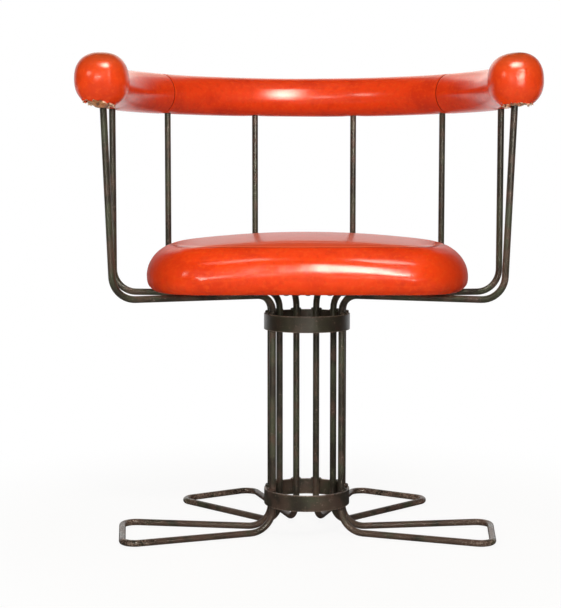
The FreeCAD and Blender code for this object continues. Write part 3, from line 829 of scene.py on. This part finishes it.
def tear_leather(arm, side):
    """Refine the hide near the tear, cut it out and curl what is left of its edge."""
    choose_faces(arm, lambda face: abs(tear_edge(face.center, side)) < 2 * TEAR_RAG)
    bpy.ops.mesh.subdivide(number_cuts=1)
    leave_edit()
    delete_faces(arm, lambda face: tear_edge(face.center, side) < 0)

    def curled(vertex):
        near = max(0.0, 1 - tear_edge(vertex.co, side) / CURL_REACH)
        return CURL * near ** 3 * (0.35 + noise.noise(vertex.co * 130 + up * side))

    push_out(arm, curled)


for arm, side, stood_for in ((right_arm, 1, "rail_cover_right_arm"), (left_arm, -1, "rail_cover_left_arm")):
    feet = [upright_at(side * ARM_ANGLES[0])]
    shape_leather(arm, feet)
    open_for(arm, feet)
    tear_leather(arm, side)
    finish_leather(arm, orange_leather)
    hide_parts(stood_for)

# Torn flaps and threads: tongues of the split hide that hang from the tear and show their pale
# flesh side, and the loose ends of the sewing thread. Each is part of the arm's leather still.
FLAP_LAP = radians(1)
FLAP_THICK = 0.0011
FLAP_CELLS = 7
# Each flap's turn about the tear in degrees, and its width, length and lift in millimetres.
FLAPS = {-1: ((-80, 7, 3, 1), (-30, 5, 2, 1), (30, 8, 4, 1), (62, 9, 4, 2), (90, 9, 5, 3), (150, 12, 4, 2),
              (-140, 12, 4, 2)),
         1: ((-48, 9, 6, 2), (8, 6, 3, 1), (36, 7, 5, 2), (64, 6, 5, 3), (100, 8, 4, 2), (170, 12, 4, 2),
             (-120, 11, 4, 2))}
# Each loose thread's turn in degrees and its length in millimetres.
THREADS = {-1: ((20, 9), (50, 7), (66, 10), (-70, 6), (100, 8), (5, 5)),
           1: ((62, 9), (76, 8), (88, 10), (100, 7), (-40, 6), (22, 8), (34, 6))}
THREAD_RADIUS = 0.0003
THREAD_STEPS = 7
THREAD_WANDER = 0.55
THREAD_TAPER = 0.9


def tear_way(side, turn):
    """The direction away from the tear's heading at a turn about it, counted from the front."""
    heading = TEAR_HEADING[side]
    front = Vector((0, -1, 0))
    front = (front - heading * heading.dot(front)).normalized()
    return front * cos(turn) + front.cross(heading) * sin(turn)


def tear_point(side, turn, reach):
    """The point of the tear's edge at a turn about its heading, so far from the ball's middle."""
    spread = TEAR_SPREAD[side] + FLAP_LAP
    way = TEAR_HEADING[side] * cos(spread) + tear_way(side, turn) * sin(spread)
    return ball_middle(side) + way * reach


def torn_flap(side, turn, width, length, lift, seed):
    """A tongue of torn hide that hangs from the tear's edge, with a ragged end that curls out."""
    start_alone()
    bpy.ops.mesh.primitive_grid_add(x_subdivisions=FLAP_CELLS, y_subdivisions=FLAP_CELLS, size=1)
    flap = bpy.context.object
    for vertex in flap.data.vertices:
        across, along = vertex.co.x, vertex.co.y + 0.5
        ragged = 1 + 0.7 * noise.noise(Vector((across * 4, seed, 0)))
        curled = 1 + 0.8 * noise.noise(Vector((across * 3, along * 2, seed)))
        way = turn + across * (1 - 0.5 * along) * width / (ball_radius * sin(TEAR_SPREAD[side]))
        drop = TEAR_HEADING[side] * length * along * ragged
        curl = tear_way(side, way) * lift * along ** 2 * curled
        vertex.co = tear_point(side, way, ball_radius - FLAP_THICK) + drop + curl
    face_outwards(flap)
    apply_modifier(flap, "SOLIDIFY", thickness=FLAP_THICK, offset=0)
    refine(flap)
    return flap


def frayed_thread(side, turn, length, draw):
    """A loose thread: a fine disc extruded step by step along a wandering line."""
    place = tear_point(side, turn, ball_radius - LEATHER)
    start_alone()
    bpy.ops.mesh.primitive_circle_add(vertices=6, radius=THREAD_RADIUS, fill_type="NGON", location=place)
    thread = settle()
    edit_all()
    way = TEAR_HEADING[side] + (place - ball_middle(side)) * 12
    for _ in range(THREAD_STEPS):
        wander = Vector([draw.uniform(-THREAD_WANDER, THREAD_WANDER) for _ in range(3)])
        way = (way.normalized() + wander).normalized()
        step = way * length / THREAD_STEPS
        bpy.ops.mesh.extrude_region_move(TRANSFORM_OT_translate={"value": step})
        place = place + step
        bpy.ops.transform.resize(value=(THREAD_TAPER,) * 3, center_override=place)
    face_outwards(thread)
    return thread


THREAD_PALE = (0.66, 0.54, 0.43, 1)
THREAD_SOILED = (0.30, 0.14, 0.08, 1)
THREAD_SEED = 40
THREAD_TWIST = {"relief": (900, 3), "depth": 0.0003, "fibrous": True}
sewing_thread = patchy("sewing_thread", THREAD_PALE, THREAD_SOILED, wear=(160, 3), edge=(0.42, 0.62),
                       rough=(0.7, 0.2), **THREAD_TWIST)
for side, name in ((-1, "left"), (1, "right")):
    flaps = [torn_flap(side, radians(turn), width / 1000, length / 1000, lift / 1000, turn / 7)
             for turn, width, length, lift in FLAPS[side]]
    tongues = make_join(f"torn_flaps_{name}", flaps, raw_edge)
    bpy.ops.object.shade_smooth()
    draw = random.Random(THREAD_SEED + side)
    ends = [frayed_thread(side, radians(turn), length / 1000, draw) for turn, length in THREADS[side]]
    frays = make_join(f"frayed_threads_{name}", ends, sewing_thread)
    for piece in (tongues, frays):
        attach(piece, "root")

# Rail stitches: the hide is closed along the underside of the rail with slanted stitches of the same
# thread, each going in on one side of the groove and out on the other.
STITCH_STEP = 0.0085
STITCH_THICK = 0.00055
STITCH_BEND = 0.0034
STITCH_TURN = radians(110)
STITCH_SLANT = radians(28)
ROD_KEEP = 0.010
SEAM_RED = (0.33, 0.040, 0.012, 1)
SEAM_BROWN = (0.13, 0.035, 0.015, 1)
STITCH_SIDES = 8
STITCH_STEPS = 8
STITCH_SINK = 0.0001

start_alone()
bpy.ops.mesh.primitive_circle_add(
    vertices=STITCH_SIDES, radius=STITCH_THICK, fill_type="NGON",
    location=(-STITCH_BEND * sin(STITCH_TURN / 2), 0, -STITCH_BEND * cos(STITCH_TURN / 2)),
    rotation=(0, pi / 2 + STITCH_TURN / 2, 0))
stitch = settle()
edit_all()
bpy.ops.mesh.spin(steps=STITCH_STEPS, angle=STITCH_TURN, center=(0, 0, 0), axis=(0, -1, 0))
face_outwards(stitch)

stitch_drop = up * (STITCH_BEND - roll_radius - STITCH_SINK)
roll_length = rail_circle * ARM_ANGLE
half_length = roll_length + ARM_ARC * (ARM_END_ANGLE - ARM_ANGLE)
seam_feet = [upright_at(angle) for angle in UPRIGHT_ANGLES]
stitches = []
for number in range(1, int(half_length / STITCH_STEP)):
    along = number * STITCH_STEP
    turn = along / rail_circle
    spot = axis_point + outward(turn) * rail_circle
    if along > roll_length:
        turn = ARM_ANGLE + (along - roll_length) / ARM_ARC
        spot = arm_centre + outward(turn) * ARM_ARC
    for side in (-1, 1):
        sewn = Vector((side * spot.x, spot.y, spot.z)) + stitch_drop
        if all((sewn - foot).xy.length > ROD_KEEP for foot in seam_feet):
            slanted = Matrix.Rotation(pi / 2 - side * turn + STITCH_SLANT, 4, "Z")
            stitches.append(copied(stitch, f"stitch_{number}_{side}", Matrix.Translation(sewn) @ slanted))
bpy.data.objects.remove(stitch)
seam_thread = patchy("seam_thread", SEAM_RED, SEAM_BROWN, wear=(60, 3), edge=(0.40, 0.62),
                     rough=(0.6, 0.2), **THREAD_TWIST)
seam = make_join("rail_stitches", stitches, seam_thread)
bpy.ops.object.shade_smooth()
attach(seam, "root")

# Seat leather: one hide pulled over the stuffed seat and turned under its board, where tacks hold
# it and draw its lower edge in. Its top has sunk inside a level crease, is worn dull by sitting and is
# painted browner. A painted highlight and painted shade run along the crease, and painted shade
# darkens both ends.
SEAT_CORNER = 0.085
SEAT_VOXEL = 0.0062
SEAT_CAP = 0.0010
TACK_COUNT = 34
TACK_INSET = 0.044
TACK_PULL = 0.17
MOUTH_INSET = 0.056
MOUTH_WAVE = 0.002
MOUTH_STEP = 0.0005
SEAT_LUMPS = 0.0004
TACK_HOLD = 0.009
TACK_DRAW = 0.0018
TACK_DRAW_HEIGHT = 0.024
CREASE_HEIGHT = 0.4405
seat_low, seat_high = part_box("seat_cover")
seat_radius = seat_high.x
seat_front = -seat_low.y
corner_y = SEAT_CORNER - seat_front
corner_x = sqrt((seat_radius - SEAT_CORNER) ** 2 - corner_y ** 2)
pocket_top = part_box("seat_board")[1].z
seat_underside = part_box("seat_padding")[0].z - LEATHER


def inset_at(x, y):
    """How far inside the seat's outline a point lies in plan."""
    across = abs(x)
    if across > corner_x and y * corner_x < corner_y * across:
        return SEAT_CORNER - hypot(across - corner_x, y - corner_y)
    if across <= corner_x and y < corner_y:
        return y + seat_front
    return seat_radius - hypot(x, y)


def outline_point(angle, inset):
    """The point at an inset from the seat's outline, in one direction from the column axis."""
    near, far = 0.0, seat_radius
    for _ in range(30):
        middle = (near + far) / 2
        spot = outward(angle) * middle
        if inset_at(spot.x, spot.y) > inset:
            near = middle
        else:
            far = middle
    return outward(angle) * near


tack_places = [outline_point(2 * pi * step / TACK_COUNT, TACK_INSET) for step in range(TACK_COUNT)]


def in_pocket(face):
    """Whether a face of the stuffing lies in the hollow that takes the board."""
    wall = abs(face.normal.z) < 0.3 and face.center.z < pocket_top + 0.0005
    ceiling = face.normal.z < -0.99 and face.center.z > pocket_top - 0.001
    return wall or ceiling


def past_mouth(point):
    """How far a point lies inside the wavy edge of the turned-under hide."""
    return inset_at(point.x, point.y) - MOUTH_INSET - MOUTH_WAVE * noise.noise(point * 60)


def in_mouth(face):
    """Whether a face of the underside lies inside that edge."""
    return face.center.z < seat_underside + 0.003 and past_mouth(face.center) > 0


def trim_mouth(piece):
    """Draw the stepped edge that deleting faces leaves onto the wavy line."""
    step = Vector((MOUTH_STEP, 0, 0)), Vector((0, MOUTH_STEP, 0))
    for vertex in open_edge_points(piece):
        for _ in range(3):
            here = past_mouth(vertex.co)
            rise = Vector([(past_mouth(vertex.co + side) - here) / MOUTH_STEP for side in step] + [0])
            vertex.co -= rise.normalized() * here


LEATHER_TOP_BROWN = (0.56, 0.080, 0.034, 1)
PAINTED_CREASE_HIGHLIGHT = (0.78, 0.20, 0.10, 1)
PAINTED_END_SHADE = (0.36, 0.024, 0.006, 1)
END_SHADE_START = 0.15
END_SHADE_MARGIN = 0.012
SEAT_POLISH = {"coat_roughness": 0.18, "coat_ior": 1.55}


def seat_hide():
    """The same hide, painted browner and duller above a level crease, with a painted highlight and painted
    shade along the crease and painted shade at both ends.
    """
    material, shader, place = open_material("seat_hide")
    mottle, fleck, colour = hide_colour(place)
    rise = axis_of(place, "Z") + 0.0012 * cloud(place, 14, 2) - CREASE_HEIGHT
    # Above the crease the hide is painted browner, and towards the front its coat is duller.
    above_crease = slope(rise, 0.0, 0.0016)
    # A pale line is painted as the highlight along the crease, and under it a dark line as its shade.
    crease_highlight = 1 - slope(abs(rise - 0.0004), 0.0002, 0.0008)
    fold = 1 - slope(abs(rise + 0.0006), 0.0002, 0.0009)
    drawn = place.add("Mapping", {"Vector": place, "Scale": (0.10, 1, 1)})
    streaks = cloud(drawn, 170, 4)
    colour = over(slope(streaks, 0.50, 0.70) * 0.30, colour, LEATHER_LIGHT)
    colour = over(above_crease * (0.60 + 0.30 * mottle), colour, LEATHER_TOP_BROWN)
    colour = over(crease_highlight * 0.45, colour, PAINTED_CREASE_HIGHLIGHT)
    colour = over(fold * 0.45, colour, PAINTED_SEAM_SHADE)
    # Painted shade: both ends of the seat are darkened.
    ends = slope(abs(axis_of(place, "X")), END_SHADE_START, seat_radius - END_SHADE_MARGIN)
    colour = over(ends * 0.55, colour, PAINTED_END_SHADE)
    relief = hide_grain(place) + streaks * 0.4 + crease_highlight * 0.8 - fold * 0.8
    dulled = above_crease * (1 - slope(axis_of(place, "Y"), 0.04, 0.18))
    polish = (0.95 - 0.45 * dulled) * (1 - 0.97 * ends)
    feed(shader, colour, 0.42 + 0.12 * mottle + 0.10 * above_crease, relief, GRAIN_DEPTH, polish)
    set_finish(shader, specular_ior_level=UNDER_POLISH, **SEAT_POLISH)
    return material


seat = copied(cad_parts["seat_padding"], "seat_leather", Matrix())
seat.data.materials.clear()
face_outwards(seat)
delete_faces(seat, in_pocket)
edit_none(seat, "EDGE")
bpy.ops.mesh.select_non_manifold()
bpy.ops.mesh.fill()
leave_edit()
apply_modifier(seat, "REMESH", mode="VOXEL", voxel_size=SEAT_VOXEL, use_smooth_shade=True)
push_out(seat, lambda vertex: LEATHER)


def tacked(point):
    """Whether a point of the hide is held under the board, by a tack or inside their ring."""
    return point.z < seat_underside + 0.002 and (inset_at(point.x, point.y) > TACK_INSET or any(
        (point - spot).xy.length < TACK_HOLD for spot in tack_places))


swell(seat, [vertex.index for vertex in seat.data.vertices if tacked(vertex.co)], SEAT_CAP)
apply_modifier(seat, "SMOOTH", factor=0.5, iterations=5)
refine(seat)


def drawn_in(vertex):
    """Uneven stuffing, and the pull of each tack on the lower edge."""
    low_down = max(0.0, 1 - (vertex.co.z - seat_underside) / TACK_DRAW_HEIGHT)
    phase = TACK_COUNT * atan2(vertex.co.x, vertex.co.y) / (2 * pi)
    pull = exp(-((phase - round(phase)) / TACK_PULL) ** 2)
    turned_under = vertex.normal.z <= -0.9
    return SEAT_LUMPS * noise.noise(vertex.co * 13) - TACK_DRAW * pull * low_down * (not turned_under)


push_out(seat, drawn_in)
delete_faces(seat, in_mouth)
trim_mouth(seat)
finish_leather(seat, seat_hide())
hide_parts("seat_cover", "seat_padding")

# Seat tacks: blued steel upholstery tacks with round heads, driven through the turned-under hide into
# the board, out of sight from above.
TACK_HEAD = 0.0048
TACK_FLAT = 0.45
TACK_SHANK = 0.007
BLUED = (0.060, 0.058, 0.062, 1)
TACK_RUST = (0.16, 0.065, 0.026, 1)
TACK_NECK = 0.30
TACK_POINT = 0.5
TACK_CLEAR = 0.0004

start_alone()
bpy.ops.mesh.primitive_uv_sphere_add(segments=20, ring_count=12, radius=TACK_HEAD)
tack = bpy.context.object
edit_all()
bpy.ops.transform.resize(value=(1, 1, TACK_FLAT))
leave_edit()
delete_faces(tack, lambda face: face.center.z > 0)
open_edge_points(tack)
edit()
origin = Vector()
next_ring(origin, origin, TACK_NECK)
next_ring(origin, up * TACK_SHANK, TACK_POINT)
bpy.ops.mesh.edge_face_add()
face_outwards(tack)
tacks = []
for number, spot in enumerate(tack_places):
    placing = Matrix.Translation((spot.x, spot.y, seat_underside + TACK_CLEAR))
    tacks.append(copied(tack, f"tack_{number}", placing))
bpy.data.objects.remove(tack)
blued = patchy("blued_tack", BLUED, TACK_RUST, wear=(240, 5), edge=(0.52, 0.68), rough=(0.30, 0.4),
               relief=(500, 4), depth=0.0002, metallic=0.6)
tack_ring = make_join("seat_tacks", tacks, blued)
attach(tack_ring, "root")

# Seat board: a 12 mm birch plywood board, cut to the seat's shape, that the hide is tacked to and the
# clips screw into. It shows only from below, inside the edge of the hide.
VENEER = 0.0015
BIRCH = (0.50, 0.33, 0.17, 1)
BIRCH_LATE = (0.30, 0.165, 0.070, 1)
BIRCH_SOILED = (0.13, 0.080, 0.045, 1)
plywood, ply_shader, ply_place = open_material("birch_plywood")
ply_grain = cloud(ply_place.add("Mapping", {"Vector": ply_place, "Scale": (0.07, 1, 1)}), 190, 6)
ply_height = axis_of(ply_place, "Z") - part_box("seat_board")[0].z
layer = slope(ply_height.math("PINGPONG", ply_height, VENEER), 0.4 * VENEER, 0.6 * VENEER)
ply_colour = over(slope(ply_grain, 0.42, 0.66), BIRCH, BIRCH_LATE)
ply_colour = over(layer * 0.5, ply_colour, BIRCH_LATE)
ply_colour = over(slope(cloud(ply_place, 9, 6), 0.48, 0.66) * 0.7, ply_colour, BIRCH_SOILED)
feed(ply_shader, ply_colour, 0.70 + 0.2 * ply_grain, ply_grain, 0.0005)
finish_nodes(plywood, "seat_board")

# Seat clips: four saddles of bent steel strip that hold the board down on the rods. They are enamelled
# black, and the enamel is chipped.
ENAMEL = (0.020, 0.019, 0.018, 1)
CHIPPED = (0.16, 0.10, 0.065, 1)
enamel = patchy("black_enamel", ENAMEL, CHIPPED, wear=(210, 6), edge=(0.60, 0.68), rough=(0.28, 0.4),
                relief=(300, 4), depth=0.0002)
finish_nodes(enamel, "seat_clip_left", "seat_clip_rear_left", "seat_clip_rear_right", "seat_clip_right")

# Seat screws: eight round-headed wood screws of zinc-plated steel, driven up through the ears of the
# clips into the board, two to each clip. The zinc has dulled with age.
ZINC = (0.42, 0.41, 0.39, 1)
ZINC_DULL = (0.20, 0.185, 0.165, 1)
zinc = patchy("dull_zinc", ZINC, ZINC_DULL, wear=(330, 6), edge=(0.44, 0.62), rough=(0.30, 0.3),
              relief=(700, 3), depth=0.00015, metallic=0.9)
finish_nodes(zinc, "seat_screws")

# Studio: a pale floor that runs out to white and soft boxes of three kinds: some that light and
# shine, some that only light, and small ones that only shine in the gloss. The camera stands a
# little above the seat.
scene = bpy.context.scene
scene.view_settings.view_transform = "Standard"
FLOOR_RADIUS = 6.0
FLOOR_SIDES = 96
FLOOR_DROP = 0.0005
FLOOR_SHOWN = 0.90
FLOOR_FADE = (0.35, 0.85)
FLOOR_PALE = (0.86, 0.86, 0.86, 1)
FLOOR_MIRRORED = (0.06, 0.06, 0.06, 1)
WHITE = (1, 1, 1, 1)

start_alone()
bpy.ops.mesh.primitive_circle_add(
    vertices=FLOOR_SIDES, radius=FLOOR_RADIUS, fill_type="NGON", location=(0, 0, -FLOOR_DROP))
floor = settle()
floor.name = "floor"
floor_material, floor_shader, floor_place = open_material("pale_floor")
floor_tree = floor_material.node_tree
set_finish(floor_shader, roughness=0.9, specular_ior_level=0.0)
rays = floor_place.add("LightPath", {}, out="Is Camera Ray")
glossy = floor_place.add("LightPath", {}, out="Is Glossy Ray")
clear = floor_place.add("LightPath", {}, out="Is Transmission Ray")
floor_colour = over(glossy, FLOOR_PALE, FLOOR_MIRRORED)
floor_tree.links.new(floor_colour.socket, floor_shader.inputs["Base Color"])
far_floor = glossy * slope(axis_of(floor_place, "Y"), 0.9, 2.2)
seen = rays.math("MAXIMUM", rays.math("MAXIMUM", rays, clear), far_floor)
glow = floor_place.add("Emission", {"Color": WHITE, "Strength": 1.0}, out="Emission")
lit = Shade(floor_tree, floor_shader.outputs[0])
shown = FLOOR_SHOWN + (1 - FLOOR_SHOWN) * slope(far_from(floor_place), *FLOOR_FADE)
faded = floor_place.add("MixShader", {0: seen * shown, 1: lit, 2: glow})
floor_tree.links.new(faded.socket, floor_tree.nodes["Material Output"].inputs["Surface"])
floor.data.materials.append(floor_material)

world = bpy.data.worlds.new("studio")
scene.world = world
world.use_nodes = True
sky = world.node_tree
direction = Shade(sky, sky.nodes.new("ShaderNodeTexCoord").outputs["Generated"])
AMBIENT = 0.27
ROOM_DARK = 0.004
BACKDROP = 1.0
behind = slope(axis_of(direction, "Y"), 0.45, 0.90)
flats = slope(abs(axis_of(direction, "X")), 0.15, 0.40)
behind = behind * (1 - (1 - flats) * slope(axis_of(direction, "Z"), 0.24, 0.44))
camera_ray = direction.add("LightPath", {}, out="Is Camera Ray")
glossy_ray = direction.add("LightPath", {}, out="Is Glossy Ray")
reflected = ROOM_DARK + behind * BACKDROP
strength = camera_ray + (1 - camera_ray) * (glossy_ray * reflected + (1 - glossy_ray) * AMBIENT)
background = sky.nodes["Background"]
background.inputs["Color"].default_value = WHITE
sky.links.new(strength.socket, background.inputs["Strength"])


def soft_box(name, place, aim, width, height, power, spread=180):
    """A rectangular soft box that faces a point, with a spread in degrees."""
    lamp = bpy.data.lights.new(name, "AREA")
    lamp.shape = "RECTANGLE"
    lamp.size = width
    lamp.size_y = height
    lamp.energy = power
    lamp.color = LAMP_WARMTH
    lamp.spread = radians(spread)
    stand = bpy.data.objects.new(name, lamp)
    scene.collection.objects.link(stand)
    stand.location = place
    stand.rotation_euler = (Vector(aim) - Vector(place)).to_track_quat("-Z", "Y").to_euler()
    return stand


LAMP_WARMTH = (1.0, 0.95, 0.82)
MIDDLE = (0, 0, 0.42)
SEAT_FRONT = (0.03, -0.20, 0.42)
RAIL_BACK = (-0.03, 0.27, 0.69)
# Each lamp's name, place, aim, width, height, power and, with a grid, its spread in degrees.
soft_box("side_box", (-1.60, -1.80, 1.20), MIDDLE, 0.5, 0.5, 5)
soft_box("rear_box", (-0.30, 2.30, 1.90), MIDDLE, 1.8, 1.2, 8)
MATT_LAMPS = [("overhead_box", (0.30, -0.45, 2.80), MIDDLE, 1.5, 1.5, 8),
              ("back_box", (-0.30, 2.30, 1.60), MIDDLE, 1.8, 1.2, 16),
              ("key_box", (0.52, -1.85, 2.15), (0, -0.1, 0.55), 0.46, 0.32, 25),
              ("fill_box", (-0.35, -2.30, 0.90), MIDDLE, 1.2, 1.2, 24)]
GLOSS_LAMPS = [("seat_glint", (-0.46, -2.00, 0.66), (-0.11, -0.22, 0.40), 0.60, 0.22, 0.15, 26),
               ("foot_shine", (0.25, -2.20, 1.00), (0, -0.10, 0.02), 0.50, 0.30, 0.45, 18),
               ("column_shine", (0.35, -2.00, 0.30), (0, 0, 0.21), 0.30, 0.30, 0.035, 14),
               ("left_rod_shine", (-0.55, -2.00, 0.62), (-0.34, -0.05, 0.55), 0.24, 0.24, 0.02, 9),
               ("right_rod_shine", (0.55, -2.00, 0.62), (0.34, -0.05, 0.55), 0.24, 0.24, 0.02, 9)]
for side, across in ((-1, 0.074), (1, -0.028)):
    above = ball_middle(side) + Vector((across, -0.270, 0.350))
    GLOSS_LAMPS.append(("ball_shine", above, ball_middle(side), 0.25, 0.32, 0.30, 34))
for height, power in ((0.92, 0.035), (1.18, 0.075), (1.46, 0.065)):
    GLOSS_LAMPS.append(("seat_shine", (0.20, -1.95, height), SEAT_FRONT, 0.24, 0.30, power, 16))
for height, power in ((0.52, 0.12), (0.80, 0.25), (1.06, 0.26), (1.36, 0.20), (1.72, 0.13)):
    GLOSS_LAMPS.append(("rail_shine", (0.26, -0.79, height), RAIL_BACK, 0.48, 0.28, power, 28))
for lamp in MATT_LAMPS:
    soft_box(*lamp).visible_glossy = False
for lamp in GLOSS_LAMPS:
    soft_box(*lamp).visible_diffuse = False

CAMERA_PLACE = (-0.0400, -2.1534, 0.5359)
CAMERA_DIP = radians(4.95)
CAMERA_LENS = 84.70
CAMERA_SENSOR = 36
camera = bpy.data.objects.new("camera", bpy.data.cameras.new("camera"))
camera.data.lens = CAMERA_LENS
camera.data.sensor_width = CAMERA_SENSOR
camera.location = CAMERA_PLACE
camera.rotation_euler = (pi / 2 - CAMERA_DIP, 0, 0)
scene.collection.objects.link(camera)
scene.camera = camera
